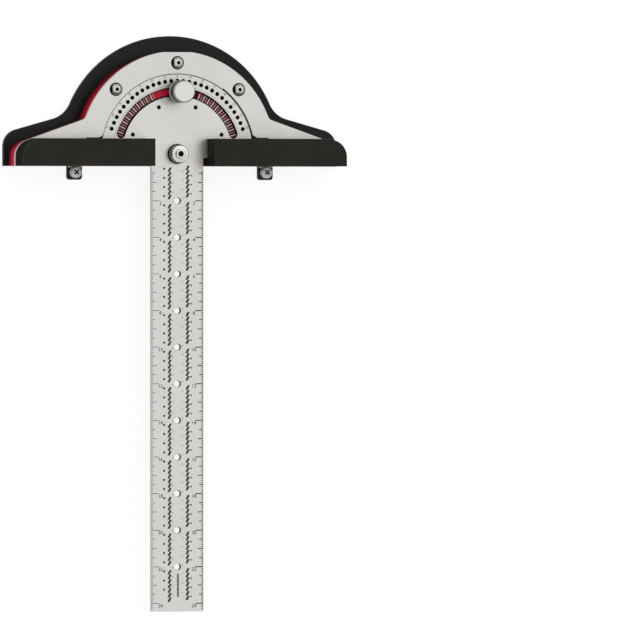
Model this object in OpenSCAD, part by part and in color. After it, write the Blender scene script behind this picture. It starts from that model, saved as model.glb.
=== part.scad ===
// T square for drawing and marking out: a graduated stainless blade that swings on a protractor head.
// Frame: origin on the pivot axis at the head's flat rear face. +Z comes out of the graduated face,
// +Y points from the pivot to the top of the dome, and the blade hangs along -Y at rest.

/* [Blade] */
// Width of the graduated blade, edge to edge
blade_w = 30; // [28:0.5:31]
// Thickness of the blade and its disc
blade_t = 1.5; // [1.2:0.05:1.5]
// Distance from the pivot to the blade's square tip
blade_reach = 250; // [240:1:300]
// Radius of the disc at the top of the blade
disc_r = 43.6; // [43:0.1:43.6]
// How far the straight edge of the disc lies below the pivot
disc_drop = 2.1; // [1:0.1:4]
// Diameter of the holes down the blade's centre line
centre_hole_d = 3.4; // [2:0.1:5]
// Number of holes down the centre line
centre_hole_count = 11; // [1:1:11]
// Spacing of the centre line holes, and of the long graduations
centre_hole_pitch = 20; // [15:0.5:20]
// Diameter of the bore that turns on the pivot bush
disc_bore_d = 8.1; // [8.06:0.01:8.2]

/* [Protractor] */
// Furthest swing of the blade to either side, in degrees
swing_max = 70; // [60:1:70]
// Step between neighbouring index holes, in degrees
index_step = 5; // [2.5:2.5:10]
// Radius of the ring of index holes
index_ring_r = 40; // [39.6:0.1:41]
// Radius of the inner ring of half step holes
half_ring_r = 27.5; // [26:0.1:28]
// Angles of the half step holes, to both sides
half_angles = [22.5, 67.5];
// Diameter of the index holes and the half step holes
index_hole_d = 2.1; // [1.6:0.1:2.2]
// Radius of the arc slot's centre line
slot_ring_r = 34; // [33:0.1:34]
// Width of the arc slot
slot_w = 4.7; // [4.1:0.05:4.7]

/* [Head layers] */
// Thickness of the black rear plate
rear_t = 3; // [2.5:0.1:4]
// Thickness of the body block
block_t = 10.8; // [10:0.1:14]
// Thickness of the stainless front plate, which stands a little above the disc
plate_t = 2; // [1.6:0.05:2.4]
// Height of the two fence bars above the front plate
bar_h = 14.5; // [10:0.1:16]
// How far the fence's working face lies below the pivot
fence_drop = 6.7; // [6:0.1:7]
// Height of a fence bar across its top face
bar_w = 15; // [14:0.1:15]
// Gap between the two fence bars, for the blade
bar_gap = 34.4; // [33:0.2:38]

/* [Head outline] */
// Radius of the dome of the block and front plate
dome_r = 55.8; // [55:0.1:57]
// Height of the dome's centre above the pivot
dome_y = 0.4; // [0:0.1:2]
// Height of the small flat at the top of the dome
dome_flat_y = 55.6; // [54.5:0.1:56]
// Half the length of the head across the front plate
head_half = 92.7; // [90:0.1:94]
// Slope of the shoulders, in degrees
shoulder_deg = 19.2; // [18:0.1:20]
// Height of the shoulder line at the pivot axis, above the pivot
shoulder_y = 37.4; // [36.8:0.1:38]
// Radius of the head's two outer corners
corner_r = 9.5; // [7:0.1:10]
// Radius of the hollow where the dome meets a shoulder
hollow_r = 4; // [2:0.5:8]
// Radius of the round window in the front plate
window_r = 43.9; // [43.9:0.1:44.5]

/* [Rear plate outline] */
// Radius of the rear plate's dome
rear_dome_r = 62.5; // [61:0.1:64]
// Height of that dome's centre above the pivot
rear_dome_y = 2; // [1:0.1:2]
// Half the length of the rear plate
rear_half = 95.4; // [95:0.1:98]
// Slope of the rear plate's shoulders, in degrees
rear_shoulder_deg = 15.5; // [15:0.1:17]
// Height of the rear shoulder line at the pivot axis, above the pivot
rear_shoulder_y = 37.7; // [37.5:0.1:39]
// Radius of the hollow where the rear dome meets its shoulder
rear_hollow_r = 15; // [10:0.5:18]

/* [Pivot] */
// Diameter of the pivot screw's thread
pivot_d = 5; // [4:0.5:5]
// Diameter of the pivot screw's head
pivot_head_d = 10; // [9:0.1:11]
// Height of the pivot screw's notched head
pivot_head_h = 4.6; // [3:0.1:5]
// Diameter of the raised ring on the head
pivot_ring_d = 5.4; // [5:0.1:7]
// Height of the raised ring
pivot_ring_h = 1.2; // [0.5:0.1:2]
// Number of notches round the head
pivot_notches = 20; // [8:1:24]
// Outside diameter of the washer under the head
pivot_washer_d = 11; // [10.5:0.5:14]
// Thickness of that washer
pivot_washer_t = 1; // [0.5:0.1:1.5]

/* [Lock] */
// Diameter of the lock stud
stud_d = 4; // [3:0.5:4]
// Diameter of the lock knob
knob_d = 12.2; // [11:0.1:12.6]
// Height of the knob's top above the front plate
knob_top = 13.2; // [10:0.1:14]
// Number of knurl grooves round the knob
knurl_count = 48; // [24:1:52]
// Depth of the knurl grooves
knurl_depth = 0.3; // [0.15:0.05:0.4]
// Outside diameter of the washer under the knob
lock_washer_d = 10; // [9:0.2:10.4]

/* [Support lips] */
// Distance from the pivot axis to the middle of each lip
lip_x = 54.7; // [53:0.1:55]
// Width of a lip
lip_w = 8.2; // [8:0.1:8.8]
// How far a lip stands out beyond the fence face
lip_out = 7.4; // [7:0.1:8]
// Width of the slider's shoulders inside the head
lip_shoulder_w = 10.6; // [10:0.1:10.8]
// Diameter of the screw head in each lip
lip_screw_d = 6.6; // [5.5:0.1:6.8]
// Height of the screw head in each lip
lip_head_h = 3.4; // [2:0.1:3.6]
// Depth of the finger notches in the fence face above the lips
lip_notch = 0.4; // [0.2:0.1:0.6]

/* [Screws] */
// Distance of the front plate's screws from the pivot
plate_screw_r = 49.8; // [49:0.1:50.2]
// Head diameter of the front plate's screws
plate_screw_d = 6; // [5.5:0.1:6]
// Distance of the rear plate's screws from the pivot
rear_screw_r = 48; // [46:0.5:49]
// Distances of the fence screws from the pivot axis, along the fence
fence_screw_x = [71, 85];
// Height of the fence screws above the pivot
fence_screw_y = 1; // [0:0.1:2]

/* [Detents] */
// Diameter of the two detent balls
ball_d = 2.4; // [2.2:0.1:2.4]
// Wire diameter of the detent springs
spring_wire = 0.35; // [0.3:0.05:0.4]
// Number of working coils in a detent spring
spring_coils = 6; // [4:1:7]

/* [Hidden] */
$fn = 96;
block_z = rear_t;
deck_z = rear_t + block_t;
face_z = deck_z + plate_t;
run_gap = 0.05;
blade_z = deck_z + run_gap;
blade_top = blade_z + blade_t;
seat_z = blade_top + run_gap;
slide_gap = 0.03;
lip_top = rear_t - slide_gap;
eps = 0.01;
cut = 1;
overlap = 2;
bite = 0.02;
bush_d = 8;
nut_af = 8;
nut_h = 2.7;
pivot_head_z = seat_z + pivot_washer_t;
pivot_top_z = pivot_head_z + pivot_head_h + pivot_ring_h;
lock_washer_t = 0.8;
lock_washer_z = blade_top + 0.02;
knob_z = lock_washer_z + lock_washer_t;
knob_top_z = face_z + knob_top;
knob_neck_d = 9.6;
knob_neck_h = 1.2;
knob_chamfer = 0.6;
stud_root_z = block_z + 3;
stud_top_z = knob_top_z - 3;
slot_end = swing_max + 1.3;
ball_z = blade_z - 0.02 - ball_d / 2;
ball_bore_d = ball_d + 0.2;
grub_d = 3;
grub_h = 4;
grub_key = 1.5;
spring_r = 0.85;
spring_low = block_z + grub_h;
spring_high = ball_z - ball_d / 2;
screw_d = 3;
plate_screw_len = 7;
button_h = 2.3;
rear_screw_len = 6;
rear_screw_angles = [-67.5, -22.5, 22.5, 67.5];
plate_screw_angles = [-45, 0, 45];
fence_screw_d = 4;
fence_head_d = 8;
fence_bite = 8;
lip_shoulder_t = 2;
lip_shoulder_low = 1.5;
lip_shoulder_high = 7;
lip_corner = 1.6;
lip_travel = lip_out;
lip_screw_y = -fence_drop - lip_out / 2 + 0.5;
lip_notch_w = 9.4;
centre_hole_first = 25.6;
window_foot_y = 8.9;
window_flare_x = 52;
window_foot_x = 66;
window_corner_r = 3;

// ---- plan shapes ----

// Shoulder line height at x
function line_y(x, y0, deg) = y0 - x * tan(deg);

// One side of a head layer from the axis out: dome, hollow, sloping shoulder and rounded corner
module half_layer(t, r, cy, half, deg, y0, corner, hollow) {
    xc = half - corner;
    yc = line_y(xc, y0, deg) - corner / cos(deg);
    // centre of the hollow: it bites a hair into the dome from outside and the shoulder line from above
    a = y0 + (hollow - bite) / cos(deg) - cy;
    b = tan(deg);
    reach = r + hollow - bite;
    hx = (b * a + sqrt(b * b * a * a - (1 + b * b) * (a * a - reach * reach))) / (1 + b * b);
    hy = cy + a - b * hx;
    shoulder_in = hx - hollow * sin(deg) - cut;
    intersection() {
        translate([0, cy, 0]) cylinder(h = t, r = r);
        translate([-overlap, -fence_drop, 0])
            cube([r + overlap + cut, r + cy + fence_drop + cut, t]);
    }
    linear_extrude(height = t)
        polygon([[0, -fence_drop], [half, -fence_drop], [half, yc], [xc, yc],
                 [xc + corner * sin(deg), yc + corner * cos(deg)],
                 [shoulder_in, line_y(shoulder_in, y0, deg)], [0, cy]]);
    intersection() {
        translate([xc, yc, 0]) cylinder(h = t, r = corner);
        translate([0, -fence_drop, 0]) cube([half + cut, half, t]);
    }
    // the fill runs a little way down into the shoulder, so that the two join
    difference() {
        linear_extrude(height = t)
            polygon([[0, cy], [hx, hy],
                     [hx - (hollow + overlap) * sin(deg), hy - (hollow + overlap) * cos(deg)]]);
        translate([hx, hy, -cut]) cylinder(h = t + 2 * cut, r = hollow);
    }
}

// Plan of the block and front plate, t thick
module head_layer(t) {
    difference() {
        for (side = [0, 1])
            mirror([side, 0, 0])
                half_layer(t, dome_r, dome_y, head_half, shoulder_deg, shoulder_y, corner_r, hollow_r);
        translate([-head_half, dome_flat_y, -cut]) cube([2 * head_half, dome_r, t + 2 * cut]);
    }
}

// Plan of the wider rear plate
module rear_layer(t) {
    for (side = [0, 1])
        mirror([side, 0, 0])
            half_layer(t, rear_dome_r, rear_dome_y, rear_half, rear_shoulder_deg, rear_shoulder_y,
                       corner_r, rear_hollow_r);
}

// The window: the disc's round opening. Below, its edge turns outward on a round corner and runs
// under the bars to leave room for the blade's full swing.
module window(t) {
    turn_y = window_foot_y + window_corner_r;
    turn_x = sqrt(pow(window_r + window_corner_r - bite, 2) - turn_y * turn_y);
    cylinder(h = t, r = window_r);
    linear_extrude(height = t)
        polygon([[-window_flare_x, window_foot_y], [window_flare_x, window_foot_y],
                 [window_foot_x, -fence_drop - cut], [-window_foot_x, -fence_drop - cut]]);
    for (side = [-1, 1])
        difference() {
            linear_extrude(height = t)
                polygon([[0, 0], [side * turn_x, turn_y + bite], [side * turn_x, window_foot_y - overlap]]);
            translate([side * turn_x, turn_y, -cut]) cylinder(h = t + 2 * cut, r = window_corner_r);
        }
}

// The shallow notch in the fence face above a lip, t high, at x = 0
module finger_notch(t) {
    translate([-lip_notch_w / 2, -fence_drop - cut, 0]) cube([lip_notch_w, lip_notch + cut, t]);
}

// A point on the protractor, measured from +Y, positive towards +X
module on_ring(r, deg) {
    translate([r * sin(deg), r * cos(deg), 0]) children();
}

// ---- hardware shapes ----

// Countersunk screw from the rear face up: head_d wide at z = 0
module countersunk(d, head_d, length) {
    difference() {
        union() {
            cylinder(h = (head_d - d) / 2, r1 = head_d / 2, r2 = d / 2);
            cylinder(h = length, r = d / 2);
        }
        translate([0, 0, -eps]) cylinder(h = d / 2, r = d * 0.36, $fn = 6);
    }
}

// Hole that a countersunk screw sits in
module countersink(d, head_d, depth) {
    translate([0, 0, -cut]) cylinder(h = depth + cut, r = d / 2 + run_gap);
    cylinder(h = (head_d - d) / 2, r1 = head_d / 2 + run_gap, r2 = d / 2 + run_gap);
}

// Round wire spring: a crescent slice of one coil, carried up with a turn for every coil
module spring(low, high) {
    pitch = (high - low - spring_wire) / spring_coils;
    half = 180 * spring_wire / pitch;
    points = 4;
    slices = spring_coils * 8;
    translate([0, 0, low + spring_wire / 2])
        linear_extrude(height = high - low - spring_wire, twist = -360 * spring_coils,
                       slices = slices, convexity = 4, $fn = 0, $fa = 360, $fs = 10)
            polygon(concat(
                [for (i = [-points:points])
                    let (t = i / points, w = spring_wire / 2 * sqrt(1.02 - t * t))
                    [(spring_r + w) * cos(t * half), (spring_r + w) * sin(t * half)]],
                [for (i = [points:-1:-points])
                    let (t = i / points, w = spring_wire / 2 * sqrt(1.02 - t * t))
                    [(spring_r - w) * cos(t * half), (spring_r - w) * sin(t * half)]]));
}

module grub(z) {
    translate([0, 0, z]) difference() {
        cylinder(h = grub_h, r = grub_d / 2);
        translate([0, 0, -eps]) cylinder(h = grub_h / 2, r = grub_key / sqrt(3), $fn = 6);
    }
}

// ---- the head ----

module rear_plate() {
    color([0.12, 0.12, 0.13]) difference() {
        rear_layer(rear_t);
        for (deg = rear_screw_angles)
            on_ring(rear_screw_r, deg) countersink(screw_d, screw_d * 2, rear_t + cut);
        for (side = [-1, 1], x = fence_screw_x)
            translate([side * x, fence_screw_y, 0]) countersink(fence_screw_d, fence_head_d, rear_t + cut);
        for (r = [half_ring_r, index_ring_r])
            translate([0, r, -cut]) cylinder(h = rear_t + 2 * cut, r = grub_d / 2 + 0.2);
        for (side = [-1, 1])
            translate([side * lip_x - lip_w / 2 - run_gap, -fence_drop - cut, -cut])
                cube([lip_w + 2 * run_gap, fence_drop + cut + lip_shoulder_high + lip_travel + run_gap,
                      rear_t + 2 * cut]);
    }
}

module body_block() {
    pocket_top = lip_shoulder_high + lip_travel + run_gap;
    color([0.65, 0.1, 0.14]) difference() {
        translate([0, 0, block_z]) head_layer(block_t);
        // pivot bush, and the pocket behind it that keeps the nut from turning
        translate([0, 0, block_z - cut]) cylinder(h = block_t + 2 * cut, r = bush_d / 2);
        translate([0, 0, block_z - cut])
            cylinder(h = nut_h + cut, r = (nut_af / 2 + run_gap) / cos(30), $fn = 6);
        // lock stud
        translate([0, slot_ring_r, stud_root_z]) cylinder(h = block_t, r = stud_d / 2);
        // detent bores: grub screw below, ball and spring above
        for (r = [half_ring_r, index_ring_r]) {
            translate([0, r, block_z - cut]) cylinder(h = grub_h + cut, r = grub_d / 2);
            translate([0, r, block_z]) cylinder(h = block_t + cut, r = ball_bore_d / 2);
        }
        for (deg = plate_screw_angles)
            on_ring(plate_screw_r, deg)
                translate([0, 0, face_z - plate_screw_len - 0.5]) cylinder(h = block_t, r = screw_d / 2);
        for (deg = rear_screw_angles)
            on_ring(rear_screw_r, deg)
                translate([0, 0, block_z - cut]) cylinder(h = rear_screw_len - rear_t + cut + 0.5, r = screw_d / 2);
        for (side = [-1, 1], x = fence_screw_x)
            translate([side * x, fence_screw_y, block_z - cut])
                cylinder(h = block_t + 2 * cut, r = fence_screw_d / 2 + run_gap);
        // pockets for the lips' shoulders, and notches that the lip screws draw back into
        for (side = [-1, 1]) {
            translate([side * lip_x, 0, block_z - cut]) finger_notch(block_t + 2 * cut);
            translate([side * lip_x - lip_shoulder_w / 2 - run_gap, lip_shoulder_low - run_gap, block_z - cut])
                cube([lip_shoulder_w + 2 * run_gap, pocket_top - lip_shoulder_low + run_gap,
                      lip_shoulder_t + run_gap + cut]);
            translate([side * lip_x, lip_screw_y + lip_travel, block_z - cut])
                cylinder(h = lip_head_h + cut + 0.3, r = lip_screw_d / 2 + 0.15);
            translate([side * lip_x - lip_screw_d / 2 - 0.15, -fence_drop - cut, block_z - cut])
                cube([lip_screw_d + 0.3, lip_screw_y + lip_travel + fence_drop + cut,
                      lip_head_h + cut + 0.3]);
        }
    }
}

module front_plate() {
    color([0.8, 0.8, 0.78]) difference() {
        translate([0, 0, deck_z]) head_layer(plate_t);
        translate([0, 0, deck_z - cut]) window(plate_t + 2 * cut);
        for (deg = plate_screw_angles)
            on_ring(plate_screw_r, deg)
                translate([0, 0, deck_z - cut]) cylinder(h = plate_t + 2 * cut, r = screw_d / 2 + run_gap);
        for (side = [-1, 1], x = fence_screw_x)
            translate([side * x, fence_screw_y, deck_z - cut])
                cylinder(h = plate_t + 2 * cut, r = fence_screw_d / 2 + run_gap);
    }
}

module fence_bar() {
    difference() {
        translate([0, 0, face_z]) intersection() {
            head_layer(bar_h);
            translate([bar_gap / 2, -fence_drop, 0]) cube([head_half, bar_w, bar_h]);
        }
        for (x = fence_screw_x)
            translate([x, fence_screw_y, face_z - cut])
                cylinder(h = fence_bite + cut + 1, r = fence_screw_d / 2);
        translate([lip_x, 0, face_z - cut]) finger_notch(bar_h + 2 * cut);
    }
}

module fence_bar_right() {
    color([0.13, 0.13, 0.12]) fence_bar();
}

module fence_bar_left() {
    color([0.13, 0.13, 0.12]) mirror([1, 0, 0]) fence_bar();
}

module pivot_bush() {
    low = block_z + nut_h;
    color([0.75, 0.6, 0.3]) translate([0, 0, low]) difference() {
        cylinder(h = seat_z - low, r = bush_d / 2);
        translate([0, 0, -cut]) cylinder(h = seat_z - low + 2 * cut, r = pivot_d / 2 + run_gap);
    }
}

module pivot_washer() {
    color([0.12, 0.12, 0.12]) translate([0, 0, seat_z]) difference() {
        cylinder(h = pivot_washer_t, r = pivot_washer_d / 2);
        translate([0, 0, -cut]) cylinder(h = pivot_washer_t + 2 * cut, r = pivot_d / 2 + run_gap);
    }
}

module pivot_screw() {
    notch = 0.45;
    socket_af = 3;
    socket_deep = 2.4;
    color([0.8, 0.8, 0.8]) difference() {
        union() {
            translate([0, 0, block_z]) cylinder(h = pivot_head_z - block_z, r = pivot_d / 2);
            translate([0, 0, pivot_head_z]) rotate_extrude()
                polygon([[0, 0], [pivot_head_d / 2, 0], [pivot_head_d / 2, pivot_head_h - 0.5],
                         [pivot_head_d / 2 - 0.5, pivot_head_h], [pivot_ring_d / 2, pivot_head_h],
                         [pivot_ring_d / 2, pivot_head_h + pivot_ring_h - 0.2],
                         [pivot_ring_d / 2 - 0.2, pivot_head_h + pivot_ring_h],
                         [0, pivot_head_h + pivot_ring_h]]);
        }
        for (i = [0:pivot_notches - 1])
            rotate([0, 0, i * 360 / pivot_notches])
                translate([pivot_head_d / 2, 0, pivot_head_z + 0.8])
                    cylinder(h = pivot_head_h, r = notch);
        translate([0, 0, pivot_top_z - socket_deep])
            cylinder(h = socket_deep + cut, r = socket_af / sqrt(3), $fn = 6);
    }
}

module pivot_nut() {
    color([0.7, 0.7, 0.7]) translate([0, 0, block_z]) difference() {
        cylinder(h = nut_h, r = nut_af / sqrt(3), $fn = 6);
        translate([0, 0, -cut]) cylinder(h = nut_h + 2 * cut, r = pivot_d / 2);
    }
}

// Button head screws that hold the front plate
module plate_screws() {
    color([0.8, 0.8, 0.8]) for (deg = plate_screw_angles)
        on_ring(plate_screw_r, deg) translate([0, 0, face_z]) difference() {
            union() {
                translate([0, 0, -plate_screw_len]) cylinder(h = plate_screw_len + eps, r = screw_d / 2);
                rotate_extrude() polygon([[0, 0], [plate_screw_d / 2, 0], [plate_screw_d / 2, 0.9],
                                          [plate_screw_d / 2 - 0.5, 1.7], [plate_screw_d / 2 - 1.2, button_h],
                                          [0, button_h]]);
            }
            translate([0, 0, button_h - 1.3]) cylinder(h = 1.3 + cut, r = 2 / sqrt(3), $fn = 6);
        }
}

module fence_screws() {
    color([0.6, 0.6, 0.6]) for (side = [-1, 1], x = fence_screw_x)
        translate([side * x, fence_screw_y, 0]) countersunk(fence_screw_d, fence_head_d, face_z + fence_bite);
}

module rear_screws() {
    color([0.6, 0.6, 0.6]) for (deg = rear_screw_angles)
        on_ring(rear_screw_r, deg) countersunk(screw_d, screw_d * 2, rear_screw_len);
}

module lock_stud() {
    color([0.7, 0.7, 0.7]) translate([0, slot_ring_r, stud_root_z]) rotate_extrude()
        polygon([[0, 0], [stud_d / 2, 0], [stud_d / 2, stud_top_z - stud_root_z - 0.5],
                 [stud_d / 2 - 0.5, stud_top_z - stud_root_z], [0, stud_top_z - stud_root_z]]);
}

module detent_screws() {
    color([0.3, 0.3, 0.32]) for (r = [half_ring_r, index_ring_r])
        translate([0, r, 0]) grub(block_z);
}

module index_spring() {
    color([0.7, 0.7, 0.7]) translate([0, index_ring_r, 0]) spring(spring_low, spring_high);
}

module half_step_spring() {
    color([0.7, 0.7, 0.7]) translate([0, half_ring_r, 0]) spring(spring_low, spring_high);
}

// ---- moving parts ----

module index_ball() {
    color([0.85, 0.85, 0.85]) translate([0, index_ring_r, ball_z]) sphere(r = ball_d / 2);
}

module half_step_ball() {
    color([0.85, 0.85, 0.85]) translate([0, half_ring_r, ball_z]) sphere(r = ball_d / 2);
}

// The disc and blade are one plate, cut through by the pivot bore, arc slot, index and centre holes
module blade() {
    sweep = 2 * slot_end;
    color([0.82, 0.82, 0.8]) difference() {
        translate([0, 0, blade_z]) linear_extrude(height = blade_t) union() {
            intersection() {
                circle(disc_r);
                translate([-disc_r - cut, -disc_drop]) square([2 * (disc_r + cut), disc_r + disc_drop + cut]);
            }
            translate([-blade_w / 2, -blade_reach]) square([blade_w, blade_reach]);
        }
        translate([0, 0, blade_z - cut]) {
            cylinder(h = blade_t + 2 * cut, r = disc_bore_d / 2);
            rotate([0, 0, 90 - slot_end]) rotate_extrude(angle = sweep)
                translate([slot_ring_r - slot_w / 2, 0]) square([slot_w, blade_t + 2 * cut]);
            for (deg = [-slot_end, slot_end])
                on_ring(slot_ring_r, deg) cylinder(h = blade_t + 2 * cut, r = slot_w / 2);
            for (deg = [-swing_max:index_step:swing_max])
                on_ring(index_ring_r, deg) cylinder(h = blade_t + 2 * cut, r = index_hole_d / 2);
            for (side = [-1, 1], deg = half_angles)
                on_ring(half_ring_r, side * deg) cylinder(h = blade_t + 2 * cut, r = index_hole_d / 2);
            for (i = [0:centre_hole_count - 1])
                translate([0, -centre_hole_first - i * centre_hole_pitch, 0])
                    cylinder(h = blade_t + 2 * cut, r = centre_hole_d / 2);
        }
    }
}

module lock_washer() {
    color([0.75, 0.75, 0.75]) translate([0, slot_ring_r, lock_washer_z]) difference() {
        cylinder(h = lock_washer_t, r = lock_washer_d / 2);
        translate([0, 0, -cut]) cylinder(h = lock_washer_t + 2 * cut, r = stud_d / 2 + run_gap);
    }
}

module lock_knob() {
    height = knob_top_z - knob_z;
    color([0.8, 0.8, 0.8]) translate([0, slot_ring_r, knob_z]) difference() {
        rotate_extrude() polygon([[stud_d / 2 + run_gap, 0], [knob_neck_d / 2, 0],
                                  [knob_neck_d / 2, knob_neck_h],
                                  [knob_d / 2 - knob_chamfer, knob_neck_h],
                                  [knob_d / 2, knob_neck_h + knob_chamfer],
                                  [knob_d / 2, height - knob_chamfer],
                                  [knob_d / 2 - knob_chamfer, height],
                                  [0, height], [0, height - 2],
                                  [stud_d / 2 + run_gap, height - 2]]);
        for (i = [0:knurl_count - 1])
            rotate([0, 0, i * 360 / knurl_count])
                translate([knob_d / 2, 0, knob_neck_h - cut]) cylinder(h = height, r = knurl_depth);
    }
}

// A lip: the nose slides in the rear plate's slot, and shoulders behind it keep it in the head
module lip() {
    low = -fence_drop - lip_out;
    difference() {
        union() {
            linear_extrude(height = lip_top) union() {
                translate([-lip_w / 2, low + lip_corner]) square([lip_w, lip_shoulder_high - low - lip_corner]);
                translate([-lip_w / 2 + lip_corner, low]) square([lip_w - 2 * lip_corner, lip_corner + overlap]);
                for (side = [-1, 1])
                    translate([side * (lip_w / 2 - lip_corner), low + lip_corner]) circle(lip_corner);
            }
            translate([-lip_shoulder_w / 2, lip_shoulder_low, rear_t + slide_gap])
                cube([lip_shoulder_w, lip_shoulder_high - lip_shoulder_low, lip_shoulder_t - slide_gap]);
            translate([-lip_w / 2, lip_shoulder_low, 0])
                cube([lip_w, lip_shoulder_high - lip_shoulder_low, rear_t + lip_shoulder_t]);
        }
        translate([0, lip_screw_y, -cut]) cylinder(h = rear_t + 2 * cut, r = screw_d / 2);
    }
}

module lip_screw() {
    slot = 0.8;
    slot_reach = 3.4;
    slot_depth = 1.2;
    translate([0, lip_screw_y, lip_top]) difference() {
        union() {
            translate([0, 0, 0.4 - lip_top]) cylinder(h = lip_top, r = screw_d / 2);
            rotate_extrude()
                polygon([[0, 0], [lip_screw_d / 2, 0], [lip_screw_d / 2, lip_head_h - 1],
                         [lip_screw_d / 2 - 0.35, lip_head_h - 0.35], [lip_screw_d / 2 - 1, lip_head_h],
                         [0, lip_head_h]]);
        }
        for (deg = [45, 135])
            translate([0, 0, lip_head_h]) rotate([0, 0, deg])
                cube([slot_reach, slot, 2 * slot_depth], center = true);
    }
}

module lip_right() {
    color([0.12, 0.12, 0.12]) translate([lip_x, 0, 0]) lip();
}

module lip_left() {
    color([0.12, 0.12, 0.12]) translate([-lip_x, 0, 0]) lip();
}

module lip_screw_right() {
    color([0.8, 0.8, 0.8]) translate([lip_x, 0, 0]) lip_screw();
}

module lip_screw_left() {
    color([0.8, 0.8, 0.8]) translate([-lip_x, 0, 0]) lip_screw();
}

rear_plate();
body_block();
front_plate();
fence_bar_left();
fence_bar_right();
pivot_bush();
pivot_washer();
pivot_screw();
pivot_nut();
plate_screws();
fence_screws();
rear_screws();
lock_stud();
detent_screws();
index_spring();
half_step_spring();
index_ball();
half_step_ball();
blade();
lock_washer();
lock_knob();
lip_left();
lip_right();
lip_screw_left();
lip_screw_right();
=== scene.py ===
"""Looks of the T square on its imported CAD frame: materials, fine edges, marks and scribing holes."""

import math

import bmesh
import bpy
from mathutils import Matrix, Vector
from mathutils.geometry import delaunay_2d_cdt

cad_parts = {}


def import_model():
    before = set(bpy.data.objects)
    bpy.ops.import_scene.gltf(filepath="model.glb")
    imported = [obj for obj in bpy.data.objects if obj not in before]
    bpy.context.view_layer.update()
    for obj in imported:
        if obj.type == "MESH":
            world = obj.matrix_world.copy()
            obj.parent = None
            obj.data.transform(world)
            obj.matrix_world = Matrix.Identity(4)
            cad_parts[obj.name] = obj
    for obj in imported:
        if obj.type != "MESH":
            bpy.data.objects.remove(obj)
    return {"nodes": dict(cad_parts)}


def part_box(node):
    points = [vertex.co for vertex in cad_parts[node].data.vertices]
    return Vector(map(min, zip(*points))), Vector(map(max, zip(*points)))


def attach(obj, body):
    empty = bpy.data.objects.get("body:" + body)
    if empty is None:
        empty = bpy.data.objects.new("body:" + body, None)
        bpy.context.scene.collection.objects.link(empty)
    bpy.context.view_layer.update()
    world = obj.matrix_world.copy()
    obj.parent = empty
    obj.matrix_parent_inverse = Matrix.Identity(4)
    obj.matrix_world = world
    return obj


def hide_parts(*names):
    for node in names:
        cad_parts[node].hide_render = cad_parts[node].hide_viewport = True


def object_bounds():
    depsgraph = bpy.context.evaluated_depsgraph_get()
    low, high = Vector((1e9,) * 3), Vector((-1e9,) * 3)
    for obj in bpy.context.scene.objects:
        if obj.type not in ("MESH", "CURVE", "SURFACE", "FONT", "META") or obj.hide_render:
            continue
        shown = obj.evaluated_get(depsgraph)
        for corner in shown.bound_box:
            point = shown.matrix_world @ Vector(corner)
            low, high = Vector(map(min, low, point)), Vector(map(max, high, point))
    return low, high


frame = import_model()
cad_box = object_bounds()

MM = 0.001

# ---- Sizes, in millimetres. Heights and outer limits come from the frame. ----

PIVOT = (0, 0)
BLADE_W = 30
DISC_DROP = 2.1
PIVOT_BORE = 8.1
SLOT_R = 34
SLOT_W = 4.7
SLOT_END = 71.3
INDEX_R = 40
INDEX_STEP = 5
INDEX_END = 70
INDEX_ANGLES = range(-INDEX_END, INDEX_END + 1, INDEX_STEP)
HALF_R = 27.5
HALF_ANGLES = (22.5, 67.5)
INDEX_HOLE = 2.1
CENTRE_HOLE = 3.4
CENTRE_FIRST = 25.6
CENTRE_PITCH = 20
CENTRE_COUNT = 11

BLADE_CHAMFER = 0.12

# Marks are thin inlays: this much stands proud of the face, this much is sunk in it
PROUD = 0.012
SUNK = 0.05

# Steps along arcs, and facets of round holes and dots
DISC_STEPS = 144
SLOT_STEPS = 96
SLOT_END_STEPS = 12
BAND_STEPS, SMALL_BAND_STEPS, SMALL_BAND_R = 96, 32, 10
PIVOT_FACETS = 64
CENTRE_FACETS = 48
INDEX_FACETS = 32
DOT_FACETS = 12

# A sharp corner's inset stops growing where its mitre is this share of a straight one
MITRE_LIMIT = 0.3
# Points of an outline, and corners of a digit, are one point where they are closer than this
SAME_POINT = 1e-5
SAME_CORNER = 1e-4
# A digit's height as a share of the font's size, and how much bolder it is drawn, as a share of its height
DIGIT_SHARE = 0.7
DIGIT_BOLDER = 0.012
DIGIT_CURVE_STEPS = 3


def node_range(node, axis):
    """Lowest and highest place of a CAD node along an axis, in millimetres."""
    low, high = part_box(node)
    return low[axis] / MM, high[axis] / MM


def top_of(node):
    """Height of a CAD node's top, in millimetres."""
    return node_range(node, 2)[1]


def middle_of(node, axis):
    """Middle of a CAD node along an axis, in millimetres."""
    return sum(node_range(node, axis)) / 2


BLADE_BOTTOM, BLADE_TOP = node_range("blade", 2)
BLADE_TIP, DISC_R = node_range("blade", 1)
DECK = top_of("body_block")
FENCE_Y = node_range("body_block", 1)[0]


# ---- Meshes, built in millimetres ----

def ring(cx, cy, diameter, count):
    """Points round a circle, clockwise, as a hole's edge runs."""
    turn = [-2 * math.pi * i / count for i in range(count)]
    return [Vector((cx + diameter / 2 * math.cos(a), cy + diameter / 2 * math.sin(a))) for a in turn]


def on_ring(radius, degrees):
    """A point on the protractor, measured from +Y towards +X."""
    a = math.radians(degrees)
    return Vector((radius * math.sin(a), radius * math.cos(a)))


def arc(radius, start, end, steps):
    """Points along an arc about the pivot, from start to end in degrees from +Y."""
    return [on_ring(radius, start + (end - start) * i / steps) for i in range(steps + 1)]


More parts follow.
